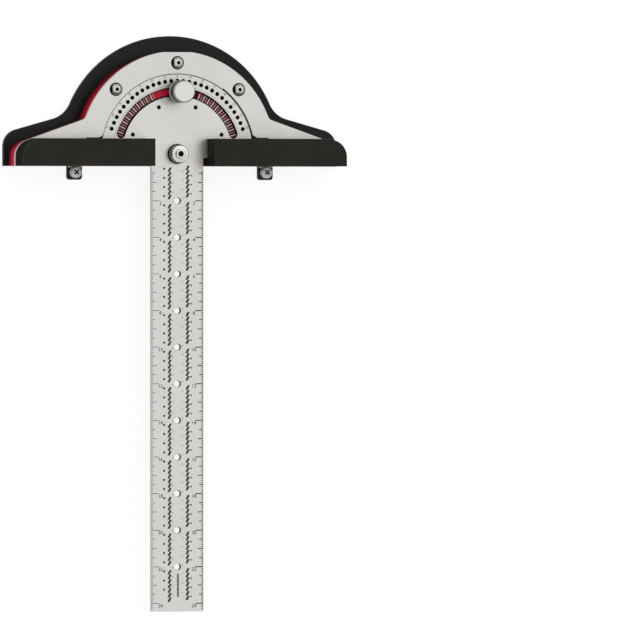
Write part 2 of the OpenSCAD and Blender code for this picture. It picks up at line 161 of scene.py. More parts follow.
def slot_loop():
    """The arc slot's edge, clockwise: along the outer side, round an end, back and round the other end."""
    loop = arc(SLOT_R + SLOT_W / 2, -SLOT_END, SLOT_END, SLOT_STEPS)
    for end, first in ((SLOT_END, 0), (-SLOT_END, 180)):
        middle = on_ring(SLOT_R, end)
        for i in range(1, SLOT_END_STEPS):
            a = math.radians(end + first + 180 * i / SLOT_END_STEPS)
            loop.append(middle + SLOT_W / 2 * Vector((math.sin(a), math.cos(a))))
        if first == 0:
            loop += arc(SLOT_R - SLOT_W / 2, SLOT_END, -SLOT_END, SLOT_STEPS)
    return loop


def blade_outline():
    """The disc with its straight lower edge, and the blade below it, counter-clockwise."""
    half = BLADE_W / 2
    edge = math.degrees(math.asin(DISC_DROP / DISC_R)) + 90
    top = arc(DISC_R, edge, -edge, DISC_STEPS)
    foot = [Vector((-half, -DISC_DROP)), Vector((-half, BLADE_TIP))]
    return foot + [Vector((half, BLADE_TIP)), Vector((half, -DISC_DROP))] + top


def inset(loop, distance):
    """The loop moved to its left, into the material, by a mitred distance."""
    moved = []
    for i, point in enumerate(loop):
        before = (point - loop[i - 1]).normalized()
        after = (loop[(i + 1) % len(loop)] - point).normalized()
        left = Vector((-before.y - after.y, before.x + after.x)).normalized()
        lean = left.dot(Vector((-before.y, before.x)))
        moved.append(point + left * distance / max(lean, MITRE_LIMIT))
    return moved


def inside(point, loop):
    """True if the point is inside the loop."""
    found = False
    for i, a in enumerate(loop):
        b = loop[i - 1]
        if (a.y > point.y) != (b.y > point.y):
            if point.x < (b.x - a.x) * (point.y - a.y) / (b.y - a.y) + a.x:
                found = not found
    return found


def fill(loops):
    """Triangles between the first loop and the holes, as (points, triangles)."""
    points, owner, edges = [], [], []
    for k, loop in enumerate(loops):
        first = len(points)
        points += loop
        owner += [k] * len(loop)
        edges += [(first + i, first + (i + 1) % len(loop)) for i in range(len(loop))]
    # The triangulation gives points, edges, faces, and the first points that each of its points stands for
    _, _, faces, sources, _, _ = delaunay_2d_cdt(points, edges, [], 1, SAME_POINT)
    kept = []
    for face in faces:
        triangle = [sources[v][0] for v in face]
        owners = {owner[v] for v in triangle}
        if len(owners) == 1:
            middle = (points[triangle[0]] + points[triangle[1]] + points[triangle[2]]) / 3
            k = owners.pop()
            if inside(middle, loops[k]) != (k == 0):
                continue
        kept.append(triangle)
    return points, kept


def sheet(name, loops, chamfered, bottom, top, chamfer):
    """A flat plate cut by holes, whose walls are material 1. The first `chamfered` loops get a chamfer."""
    mesh = bpy.data.meshes.new(name)
    bm = bmesh.new()
    flat = [inset(loop, chamfer) if k < chamfered else loop for k, loop in enumerate(loops)]
    points, triangles = fill(flat)
    faces = {}
    for z, order in ((top, 1), (bottom, -1)):
        faces[z] = [bm.verts.new((p.x, p.y, z)) for p in points]
        for triangle in triangles:
            bm.faces.new([faces[z][v] for v in triangle][::order])
    first = 0
    for k, loop in enumerate(loops):
        count = len(loop)
        rows = [faces[bottom][first:first + count], faces[top][first:first + count]]
        if k < chamfered:
            middle = [[bm.verts.new((p.x, p.y, z)) for p in loop]
                      for z in (bottom + chamfer, top - chamfer)]
            rows = [rows[0]] + middle + [rows[1]]
        for low, high in zip(rows, rows[1:]):
            for i in range(count):
                j = (i + 1) % count
                wall = bm.faces.new([low[i], low[j], high[j], high[i]])
                wall.material_index = 1 if k > 0 else 0
        first += count
    bmesh.ops.scale(bm, vec=Vector((MM, MM, MM)), verts=bm.verts)
    bm.to_mesh(mesh)
    bm.free()
    return mesh


def prism(bm, loop, bottom, top):
    """A closed prism on a counter-clockwise loop."""
    low = [bm.verts.new((p.x, p.y, bottom)) for p in loop]
    high = [bm.verts.new((p.x, p.y, top)) for p in loop]
    bm.faces.new(high)
    bm.faces.new(low[::-1])
    for i in range(len(loop)):
        j = (i + 1) % len(loop)
        bm.faces.new([low[i], low[j], high[j], high[i]])


def inlay(name, loops, face, material, body, proud=PROUD):
    """Thin marks on a face at height `face`, all in one piece that rides on a body."""
    bm = bmesh.new()
    for loop in loops:
        prism(bm, loop, face - SUNK, face + proud)
    return finished(name, bm, material, body)


def finished(name, bm, material, body):
    """Turns a millimetre bmesh into a piece that rides on a body."""
    bmesh.ops.triangulate(bm, faces=[f for f in bm.faces if len(f.verts) > 4])
    bmesh.ops.scale(bm, vec=Vector((MM, MM, MM)), verts=bm.verts)
    mesh = bpy.data.meshes.new(name)
    bm.to_mesh(mesh)
    bm.free()
    mesh.materials.append(material)
    return place(name, mesh, body)


def place(name, mesh, body):
    """Puts a mesh in the scene on its body."""
    piece = bpy.data.objects.new(name, mesh)
    bpy.context.scene.collection.objects.link(piece)
    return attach(piece, body)


def bar(x0, x1, y, height):
    """A level stroke from x0 to x1, centred on y."""
    left, right = min(x0, x1), max(x0, x1)
    low, high = y - height / 2, y + height / 2
    return [Vector(p) for p in ((left, low), (right, low), (right, high), (left, high))]


def spoke(degrees, inner, outer, width):
    """A radial stroke, counter-clockwise."""
    out = on_ring(1, degrees)
    side = Vector((out.y, -out.x)) * width / 2
    return [out * inner - side, out * inner + side, out * outer + side, out * outer - side]


def dot(x, y, diameter):
    """A round mark."""
    return ring(x, y, diameter, DOT_FACETS)[::-1]


def band(bm, centre, radius, width, turn, bottom, top):
    """A closed flat band round a centre, over a turn given in degrees from +Y."""
    whole = turn[1] - turn[0] >= 360
    steps = BAND_STEPS if radius > SMALL_BAND_R else SMALL_BAND_STEPS
    rows = []
    for r, z in ((radius - width / 2, bottom), (radius + width / 2, bottom),
                 (radius + width / 2, top), (radius - width / 2, top)):
        points = arc(r, turn[0], turn[1], steps)[:steps if whole else steps + 1]
        rows.append([bm.verts.new((centre[0] + p.x, centre[1] + p.y, z)) for p in points])
    count = len(rows[0])
    for i in range(count if whole else count - 1):
        j = (i + 1) % count
        for k in range(4):
            low, high = rows[k], rows[(k + 1) % 4]
            bm.faces.new([low[i], low[j], high[j], high[i]])
    if not whole:
        bm.faces.new([row[0] for row in rows])
        bm.faces.new([row[-1] for row in rows][::-1])


def bands(name, entries, face, material, body):
    """Flat bands on a face, given as (centre, radius, width, turn)."""
    bm = bmesh.new()
    for centre, radius, width, turn in entries:
        band(bm, centre, radius, width, turn, face - SUNK, face + PROUD)
    bmesh.ops.recalc_face_normals(bm, faces=bm.faces)
    return finished(name, bm, material, body)


def numerals(name, entries, face, height, material, body):
    """Numbers on a face, given as (text, middle of the number, turn in degrees)."""
    whole = bmesh.new()
    for text, middle, turn in entries:
        curve = bpy.data.curves.new(name + "_text", "FONT")
        curve.body = text
        curve.size = height / DIGIT_SHARE
        curve.align_x = "CENTER"
        curve.align_y = "CENTER"
        curve.extrude = (SUNK + PROUD) / 2
        curve.offset = height * DIGIT_BOLDER
        curve.resolution_u = DIGIT_CURVE_STEPS
        shown = bpy.data.objects.new(name + "_text", curve)
        bpy.context.scene.collection.objects.link(shown)
        scene_now = bpy.context.evaluated_depsgraph_get()
        mesh = bpy.data.meshes.new_from_object(shown.evaluated_get(scene_now))
        mesh.transform(Matrix.Translation((middle[0], middle[1], face + (PROUD - SUNK) / 2))
                       @ Matrix.Rotation(math.radians(-turn), 4, "Z"))
        whole.from_mesh(mesh)
        bpy.data.objects.remove(shown)
        bpy.data.curves.remove(curve)
        bpy.data.meshes.remove(mesh)
    bmesh.ops.remove_doubles(whole, verts=whole.verts, dist=SAME_CORNER)
    return finished(name, whole, material, body)


# ---- Scribing rows, in millimetres ----

SCRIBE_HOLE = 0.58
SCRIBE_FACETS = 8
# Slanted rows of scribing holes: x of their middles, and how far the first is below a long graduation
SCRIBE_ROWS = ((-4.4, 3.0), (5.9, 2.0))
SCRIBE_PITCH = 2.5
# From one hole of a row to the next
SCRIBE_STEP = Vector((0.25, 0.48))
HOLES_IN_ROW = 5
ROWS_IN_CELL = 7
SCRIBE_LOW, SCRIBE_HIGH = BLADE_TIP + 5, FENCE_Y + 1.4
# The steel is darkened this far round the line of a row: fully, and at all
ROW_DARK_FULL, ROW_DARK_END = 0.56, 0.7
# Painted shade of a centre hole's wall is a dark disc, shifted to the right under the hole: how far, and its
# full and fading radius
HOLE_SHADE_SHIFT = 0.4
HOLE_SHADE_FULL, HOLE_SHADE_END = CENTRE_HOLE / 2 + 0.05, CENTRE_HOLE / 2 + 0.15
# How much the outline of the darkened rows and of the painted hole shade wanders
DARK_UNEVEN = 0.07


def long_mark(i):
    """Height of the long graduation number i, level with a centre hole."""
    return -CENTRE_FIRST - i * CENTRE_PITCH


# ---- Materials ----

BEVEL_SAMPLES = 4
NOISE_ROUGHNESS = 0.6
# A screw's socket starts this far below its top
SOCKET_DEPTH = 0.12
# Further than any place on the object
FAR = 1000.0


class Paint:
    """A procedural material, built one node at a time. Its methods take and give millimetres; only `place`,
    where it starts from, is in metres."""

    def __init__(self, name):
        self.material = bpy.data.materials.new(name)
        self.material.use_nodes = True
        self.tree = self.material.node_tree
        self.tree.nodes.clear()
        output = self.tree.nodes.new("ShaderNodeOutputMaterial")
        self.bsdf = self.tree.nodes.new("ShaderNodeBsdfPrincipled")
        self.tree.links.new(self.bsdf.outputs["BSDF"], output.inputs["Surface"])
        self.place = self.tree.nodes.new("ShaderNodeTexCoord").outputs["Object"]

    def node(self, kind, inputs, **settings):
        """A new node with its inputs set or linked; gives the node."""
        made = self.tree.nodes.new(kind)
        for key, value in settings.items():
            setattr(made, key, value)
        for key, value in inputs.items():
            self.feed(made.inputs[key], value)
        return made

    def feed(self, socket, value):
        """Links a socket to the input, or sets its value."""
        if isinstance(value, bpy.types.NodeSocket):
            self.tree.links.new(value, socket)
        else:
            socket.default_value = value

    def set(self, **values):
        """Sets the main shader's inputs; an underscore stands for a space."""
        for key, value in values.items():
            self.feed(self.bsdf.inputs[key.replace("_", " ")], value)
        return self

    def noise(self, sizes, detail=3.0, place=None):
        """Noise whose grains have these sizes in millimetres along x, y and z."""
        scale = [1 / (size * MM) for size in sizes]
        mapped = self.node("ShaderNodeMapping", {"Vector": place or self.place, "Scale": scale})
        made = self.node("ShaderNodeTexNoise", {"Vector": mapped.outputs["Vector"], "Scale": 1.0,
                                                "Detail": detail, "Roughness": NOISE_ROUGHNESS})
        return made.outputs["Fac"]

    def span(self, value, low, high, start=0.3, end=0.7):
        """Maps a value from start..end to low..high."""
        made = self.node("ShaderNodeMapRange", {"Value": value, "From Min": start, "From Max": end,
                                                "To Min": low, "To Max": high})
        return made.outputs["Result"]

    def math(self, operation, a, b=0.0):
        """A maths node."""
        return self.node("ShaderNodeMath", {0: a, 1: b}, operation=operation).outputs[0]

    def mix(self, share, a, b):
        """A blend of two colours."""
        made = self.node("ShaderNodeMix", {0: share, 6: a, 7: b}, data_type="RGBA")
        return made.outputs[2]

    def vector(self, operation, a, b=(0.0, 0.0, 0.0)):
        """A vector maths node; gives the node."""
        return self.node("ShaderNodeVectorMath", {0: a, 1: b}, operation=operation)

    def wrap(self, value, low, high):
        """The value repeated over low..high."""
        return self.node("ShaderNodeMath", {0: value, 1: high, 2: low}, operation="WRAP").outputs[0]

    def between(self, value, low, high):
        """1 where the value is between low and high, else 0."""
        above = self.math("GREATER_THAN", value, low)
        return self.math("MULTIPLY", above, self.math("LESS_THAN", value, high))

    def part(self, vector, axis):
        """One of a vector's X, Y and Z."""
        return self.node("ShaderNodeSeparateXYZ", {"Vector": vector}).outputs[axis]

    def normal(self):
        """The way the face looks."""
        return self.node("ShaderNodeNewGeometry", {}).outputs["Normal"]

    def edges(self, radius):
        """Near 1 within `radius` of an edge, 0 on open faces."""
        bevel = self.node("ShaderNodeBevel", {"Radius": radius * MM}, samples=BEVEL_SAMPLES)
        cosine = self.vector("DOT_PRODUCT", bevel.outputs[0], self.normal()).outputs["Value"]
        return self.span(cosine, 1.0, 0.0, 0.8, 0.995)

    def facing_up(self):
        """1 on faces that look along +Z, 0 on upright walls."""
        return self.span(self.part(self.normal(), "Z"), 0.0, 1.0, 0.2, 0.6)

    def facing_left(self, start, end):
        """Rises from 0 to 1 as a face turns towards -X."""
        return self.span(self.part(self.normal(), "X"), 0.0, 1.0, -start, -end)

    def facing_out(self):
        """1 on walls that look away from the pivot, 0 on walls that look towards it."""
        away = self.vector("DOT_PRODUCT", self.normal(), self.place).outputs["Value"]
        return self.math("GREATER_THAN", away, 0.0)

    def across(self):
        """The place along x."""
        return self.math("DIVIDE", self.part(self.place, "X"), MM)

    def along(self):
        """The place along y."""
        return self.math("DIVIDE", self.part(self.place, "Y"), MM)

    def height(self):
        """The place along z."""
        return self.math("DIVIDE", self.part(self.place, "Z"), MM)

    def reach(self, axes):
        """Distance from the nearest of some vertical axes."""
        nearest = FAR
        for x, y in axes:
            shifted = self.vector("SUBTRACT", self.place, (x * MM, y * MM, 0.0)).outputs[0]
            flat = self.vector("MULTIPLY", shifted, (1.0, 1.0, 0.0)).outputs[0]
            length = self.vector("LENGTH", flat).outputs["Value"]
            nearest = self.math("MINIMUM", nearest, self.math("DIVIDE", length, MM))
        return nearest

    def rings(self, centre):
        """Fine turned rings about a vertical axis."""
        profile = self.node("ShaderNodeCombineXYZ", {"X": self.math("MULTIPLY", self.reach([centre]), MM),
                                                     "Z": self.math("MULTIPLY", self.height(), MM)})
        return self.noise((0.11, 1.0, 0.11), 3.0, profile.outputs[0])

    def socket(self, axes, radius, top):
        """1 inside the sockets of screws on these axes, below their top face."""
        below = self.math("LESS_THAN", self.height(), top - SOCKET_DEPTH)
        return self.math("MULTIPLY", below, self.math("LESS_THAN", self.reach(axes), radius))

    def bump(self, *layers):
        """Bumps the surface by layers, given as (height, depth)."""
        normal = None
        for height, depth in layers:
            inputs = {"Height": height, "Distance": depth * MM, "Strength": 1.0}
            if normal:
                inputs["Normal"] = normal
            normal = self.node("ShaderNodeBump", inputs).outputs["Normal"]
        return self.set(Normal=normal)


def colour(r, g, b):
    """A colour that hides what is behind it."""
    return (r, g, b, 1.0)


def dimmed(tone, share):
    """The colour at a share of its brightness."""
    return [c * share for c in tone[:3]] + [1.0]


# Painted shade: dark edges, sockets, screw heads and knob bands
PAINTED_SHADE = colour(0.012, 0.012, 0.012)
# Painted highlight: bright edges and knob bands
PAINTED_HIGHLIGHT = colour(0.9, 0.9, 0.88)
# Dark of the rows of scribing holes, and painted shade at the centre holes
ROWS_DARK_AND_HOLE_SHADE = colour(0.012, 0.011, 0.010)
# Outer walls of the front plate painted white as a highlight
OUTER_WALL_HIGHLIGHT = colour(0.95, 0.94, 0.92)
# Walls round the front plate's window painted dark as shade
WINDOW_WALL_SHADE = colour(0.02, 0.02, 0.02)
# Painted shade on the deck outside the disc
UNCOVERED_DECK_SHADE = colour(0.03, 0.0015, 0.005)
# Painted shade and painted highlight bands up the knob's wall, from its foot at 0 to its top at 1
KNOB_BANDS = ((0.22, PAINTED_SHADE), (0.26, PAINTED_HIGHLIGHT), (0.4, PAINTED_HIGHLIGHT), (0.45, PAINTED_SHADE),
              (0.78, PAINTED_SHADE), (0.83, PAINTED_HIGHLIGHT), (0.9, PAINTED_HIGHLIGHT), (0.93, PAINTED_SHADE))
# The foot tone, painted shade, covers walls up to the first height and is gone at the second
FOOT_LOW, FOOT_HIGH = 2, 11
# The deck is painted dark as shade outside the disc, less this rim
DISC_RIM = 0.4
# How far towards -X a face turns before it is clear of the painted foot shade, or a screw's head is painted
# dark as shade: start and end
LIT_FROM, LIT_TO = 0.45, 0.95
DARK_FROM, DARK_TO = 0.66, 0.76


def anodised(name, base, worn_and_highlight, rough, metallic, specular, wall=1.0, foot=None):
    """Anodised aluminium: fine etched grain, cloudy tone, paler rubbed edges, which on the black bars stand
    for a painted highlight. `wall` dims its upright walls as painted shade. A `foot` tone of painted shade
    covers the walls, save high up where they look left, and the deck outside the disc is painted dark as
    shade then."""
    p = Paint(name)
    grain = p.noise((0.12, 0.12, 0.12), 2.0)
    cloud = p.noise((14, 14, 14), 3.0)
    scuff = p.noise((0.5, 6, 6), 4.0)
    tone = p.mix(p.span(cloud, 0.0, 1.0), dimmed(base, 0.82), base)
    # Upright walls dimmed as painted shade
    tone = p.mix(p.facing_up(), dimmed(base, wall), tone)
    # Painted shade at the foot of the walls, and on the deck outside the disc
    if foot:
        high = p.span(p.height(), 0.0, 1.0, FOOT_LOW, FOOT_HIGH)
        lit = p.math("MULTIPLY", high, p.facing_left(LIT_FROM, LIT_TO))
        tone = p.mix(p.math("MAXIMUM", lit, p.facing_up()), foot, tone)
        outside = p.math("GREATER_THAN", p.reach([PIVOT]), DISC_R - DISC_RIM)
        deck_shade = p.math("MAXIMUM", outside, p.math("LESS_THAN", p.along(), -DISC_DROP))
        tone = p.mix(p.math("MULTIPLY", deck_shade, p.facing_up()), tone, UNCOVERED_DECK_SHADE)
    # Paler rubbed edges; on the black bars they stand for a painted highlight
    wear_and_highlight = p.math("MULTIPLY", p.edges(0.35), p.span(p.noise((2.5, 2.5, 2.5), 4.0), 0.15, 1.0, 0.35, 0.65))
    p.set(Base_Color=p.mix(wear_and_highlight, tone, worn_and_highlight), Metallic=metallic, Specular_IOR_Level=specular)
    p.set(Roughness=p.math("ADD", p.span(scuff, rough - 0.06, rough + 0.06), p.span(grain, -0.04, 0.04)))
    return p.bump((grain, 0.006), (scuff, 0.003)).material


def brushed(name, base, along, rough, rows_dark_and_hole_shaded=False):
    """Satin stainless: hairline brushing along x or y, soft smudges, a painted highlight along the edges.
    The blade's plate is darkened round its rows of scribing holes, with painted shade at the right of its
    centre holes; the other has outer walls painted white as a highlight and walls round its window painted
    dark as shade."""
    p = Paint(name)
    sizes = (9.0, 0.10, 0.10) if along == "x" else (0.10, 9.0, 0.10)
    hair = p.noise(sizes, 3.0)
    coarse = p.noise([3.5 * s for s in sizes], 2.0)
    smudge = p.noise((22, 30, 22), 4.0)
    tone = p.mix(p.span(hair, 0.0, 1.0), dimmed(base, 0.93), base)
    tone = p.mix(p.span(coarse, 0.0, 0.35), tone, dimmed(base, 0.9))
    # Painted highlight along the edges
    tone = p.mix(p.math("MULTIPLY", p.edges(0.2), 0.6), tone, PAINTED_HIGHLIGHT)
    if rows_dark_and_hole_shaded:
        # Darkened round the rows of scribing holes, and painted shade at the right of each centre hole
        tone = p.mix(p.math("MULTIPLY", scorch(p), 0.93), tone, ROWS_DARK_AND_HOLE_SHADE)
        p.set(Base_Color=tone, Metallic=1.0)
    else:
        # Outer walls painted white as a highlight, walls round the window painted dark as shade
        wall = p.math("SUBTRACT", 1.0, p.facing_up())
        outer = p.math("MULTIPLY", wall, p.facing_out())
        tone = p.mix(wall, tone, p.mix(p.facing_out(), WINDOW_WALL_SHADE, OUTER_WALL_HIGHLIGHT))
        p.set(Base_Color=tone, Metallic=p.math("SUBTRACT", 1.0, p.math("MULTIPLY", outer, 0.9)))
    p.set(Roughness=p.math("ADD", p.span(hair, rough - 0.05, rough + 0.05), p.span(smudge, -0.05, 0.05)))
    return p.bump((hair, 0.0012), (coarse, 0.001)).material


def scorch(p):
    """Near 1 round the slanted rows of scribing holes, where the steel is darkened, and on the painted shade
    at the right of each centre hole.
    """
    uneven = p.span(p.noise((0.25, 0.25, 0.25), 3.0), -DARK_UNEVEN, DARK_UNEVEN)
    rows = 0.0
    for x, offset in SCRIBE_ROWS:
        first = p.math("SUBTRACT", p.along(), long_mark(0) - offset)
        below = p.wrap(p.math("SUBTRACT", SCRIBE_PITCH / 2, first), 0.0, CENTRE_PITCH)
        away = row_distance(p, p.math("SUBTRACT", p.across(), x),
                            p.wrap(first, -SCRIBE_PITCH / 2, SCRIBE_PITCH / 2))
        near = p.span(p.math("ADD", away, uneven), 1.0, 0.0, ROW_DARK_FULL, ROW_DARK_END)
        drawn = p.math("LESS_THAN", below, SCRIBE_PITCH * ROWS_IN_CELL)
        rows = p.math("MAXIMUM", rows, p.math("MULTIPLY", near, drawn))
    rows = p.math("MULTIPLY", rows, p.between(p.along(), SCRIBE_LOW, SCRIBE_HIGH))
    return p.math("MAXIMUM", rows, burr(p, uneven))


def row_distance(p, x, y):
    """Distance of a point from the line of a slanted row whose middle is the origin."""
    slant = SCRIBE_STEP.normalized().to_3d()
    end = SCRIBE_STEP.length * (HOLES_IN_ROW - 1) / 2
    spot = p.node("ShaderNodeCombineXYZ", {"X": x, "Y": y}).outputs[0]
    run = p.vector("DOT_PRODUCT", spot, slant).outputs["Value"]
    run = p.node("ShaderNodeClamp", {"Value": run, "Min": -end, "Max": end}).outputs[0]
    on_line = p.node("ShaderNodeVectorMath", {0: slant, "Scale": run}, operation="SCALE").outputs[0]
    return p.vector("DISTANCE", spot, on_line).outputs["Value"]


def burr(p, uneven):
    """Near 1 on the painted shade of each centre hole's wall: a dark crescent at the right of the hole."""
    in_cell = p.wrap(p.math("SUBTRACT", p.along(), long_mark(0)), -CENTRE_PITCH / 2, CENTRE_PITCH / 2)
    spot = p.node("ShaderNodeCombineXYZ", {"X": p.math("SUBTRACT", p.across(), HOLE_SHADE_SHIFT), "Y": in_cell})
    away = p.vector("LENGTH", spot.outputs[0]).outputs["Value"]
    found = p.span(p.math("ADD", away, uneven), 1.0, 0.0, HOLE_SHADE_FULL, HOLE_SHADE_END)
    lowest, highest = long_mark(CENTRE_COUNT - 1) - CENTRE_HOLE, long_mark(0) + CENTRE_HOLE
    return p.math("MULTIPLY", found, p.between(p.along(), lowest, highest))


def turned(name, base, rough, centre, side=1.0, socket=None):
    """Turned steel: fine rings about a vertical axis through `centre`, and painted shade along its edges.
    `side` is how bright its walls stay under painted shade; `socket` gives the radius and the top of a
    socket painted dark as shade."""
    p = Paint(name)
    rings = p.rings(centre)
    smudge = p.noise((4, 4, 4), 3.0)
    tone = p.mix(p.span(rings, 0.0, 1.0), dimmed(base, 0.86), base)
    # Walls dimmed, edges and socket darkened: painted shade
    tone = p.mix(p.facing_up(), dimmed(base, side), tone)
    tone = p.mix(p.math("MULTIPLY", p.edges(0.22), 0.9), tone, PAINTED_SHADE)
    if socket:
        tone = p.mix(p.socket([centre], *socket), tone, PAINTED_SHADE)
    p.set(Base_Color=tone, Metallic=1.0)
    p.set(Roughness=p.math("ADD", p.span(rings, rough - 0.05, rough + 0.05), p.span(smudge, -0.04, 0.05)))
    return p.bump((rings, 0.002)).material


def knurled(name, base, rough, centre, low, high):
    """A turned knob with a plain top: painted highlight bands and painted shade bands on the knurling round
    its wall, and painted shade along its edges.
    """
    p = Paint(name)
    rings = p.rings(centre)
    tone = p.mix(p.span(rings, 0.0, 1.0), dimmed(base, 0.9), base)
    # Painted shade and highlight bands up the wall, and painted shade along the edges
    ramp = p.node("ShaderNodeValToRGB", {"Fac": p.span(p.height(), 0.0, 1.0, low, high)})
    for end in ramp.color_ramp.elements:
        end.color = PAINTED_SHADE
    for at, shade in KNOB_BANDS:
        ramp.color_ramp.elements.new(at).color = shade
    tone = p.mix(p.facing_up(), ramp.outputs[0], tone)
    p.set(Base_Color=p.mix(p.math("MULTIPLY", p.edges(0.45), 0.95), tone, PAINTED_SHADE))
    p.set(Metallic=p.span(p.facing_up(), 0.15, 1.0, 0.0, 1.0))
    p.set(Roughness=p.span(rings, rough - 0.05, rough + 0.05))
    return p.bump((rings, 0.002)).material


def plated(name, base, rough, socket=None, shaded=True, metallic=1.0):
    """Plated fasteners: faint mottling, painted shade along the edges. `socket` gives the axes, radius and
    top of sockets painted dark as shade; a shaded screw that has one is also painted dark as shade where its
    head turns left."""
    p = Paint(name)
    mottle = p.noise((0.8, 0.8, 0.8), 4.0)
    grain = p.noise((0.08, 0.08, 0.08), 2.0)
    tone = p.mix(p.span(mottle, 0.0, 1.0), dimmed(base, 0.75), base)
    # Painted shade along the edges, in sockets, and where a shaded head turns left
    tone = p.mix(p.math("MULTIPLY", p.edges(0.2), 0.9), tone, PAINTED_SHADE)
    if socket:
        dark = p.socket(*socket)
        if shaded:
            dark = p.math("MAXIMUM", dark, p.facing_left(DARK_FROM, DARK_TO))
        tone = p.mix(dark, tone, PAINTED_SHADE)
    p.set(Base_Color=tone, Metallic=metallic)
    p.set(Roughness=p.math("ADD", p.span(mottle, rough - 0.05, rough + 0.07), p.span(grain, -0.03, 0.03)))
    return p.bump((grain, 0.003)).material


def cut_edge():
    """Walls of laser cut holes: burnt dark by the cut and darkened further as painted shade, with fine
    striations down the cut.
    """
    p = Paint("cut_edge_steel")
    striations = p.noise((0.12, 0.12, 3.0), 3.0)
    soot_and_shade, ash_and_shade = colour(0.008, 0.0075, 0.007), colour(0.035, 0.033, 0.03)
    p.set(Base_Color=p.mix(p.span(striations, 0.0, 1.0), soot_and_shade, ash_and_shade))
    p.set(Specular_IOR_Level=0.15, Roughness=p.span(striations, 0.5, 0.7))
    return p.bump((striations, 0.01)).material


def ink(name, low, high, rough):
    """Filled marks: uneven ink with a dry edge."""
    p = Paint(name)
    patch = p.noise((0.35, 0.35, 0.35), 4.0)
    p.set(Base_Color=p.mix(p.span(patch, 0.0, 1.0), low, high), Specular_IOR_Level=0.04)
    p.set(Roughness=p.span(patch, rough - 0.08, rough + 0.08))
    return p.bump((patch, 0.004)).material


BLACK_PLATE = anodised("black_plate_anodised", colour(0.009, 0.0092, 0.009), colour(0.05, 0.05, 0.048),
                       rough=0.3, metallic=0.0, specular=0.2)
# The bars' walls are dimmed as painted shade, and their paler edges are a painted highlight
BLACK_BAR = anodised("black_bar_anodised", colour(0.034, 0.034, 0.030), colour(0.2, 0.2, 0.19),
                     rough=0.55, metallic=0.0, specular=0.02, wall=0.42)
# The body's foot tone is painted shade, and so is the dark deck outside the disc
RED_BODY = anodised("red_body_anodised", colour(0.72, 0.012, 0.05), colour(0.8, 0.12, 0.14),
                    rough=0.42, metallic=0.1, specular=0.3, foot=colour(0.05, 0.0015, 0.004))
PLATE_STEEL = brushed("plate_satin_steel", colour(0.77, 0.765, 0.735), "x", 0.36)
BLADE_STEEL = brushed("blade_satin_steel", colour(0.78, 0.77, 0.745), "y", 0.36, rows_dark_and_hole_shaded=True)
CUT_EDGE = cut_edge()
ETCH = ink("etched_black", colour(0.012, 0.012, 0.012), colour(0.04, 0.04, 0.038), 0.5)
FAINT_ETCH = ink("etched_grey", colour(0.16, 0.16, 0.15), colour(0.26, 0.26, 0.25), 0.5)
# Black ink for painted shade: under the disc, round the front plate's screws and along its window
SHADE_INK = ink("painted_shade_black", colour(0.006, 0.006, 0.006), colour(0.014, 0.014, 0.014), 0.6)
# The scale's dark red ground, partly print and partly painted shade of the slot's floor
DARK_RED = ink("scale_ground_dark_red", colour(0.085, 0.002, 0.012), colour(0.15, 0.004, 0.022), 0.5)
WHITE_PAINT = ink("white_scale_paint", colour(0.72, 0.70, 0.68), colour(0.86, 0.85, 0.84), 0.5)
PALE_PAINT = ink("pale_scale_paint", colour(0.62, 0.3, 0.33), colour(0.78, 0.46, 0.48), 0.5)

KNOB_AT = (0, SLOT_R)
PLATE_SCREW_R = 49.8
PLATE_SCREW_D = 6
PLATE_SCREWS_AT = [on_ring(PLATE_SCREW_R, a) for a in (-45, 0, 45)]
PIVOT_SOCKET = 1.9
PLATE_SOCKET = 1.7
LIP_SOCKET = 2.0

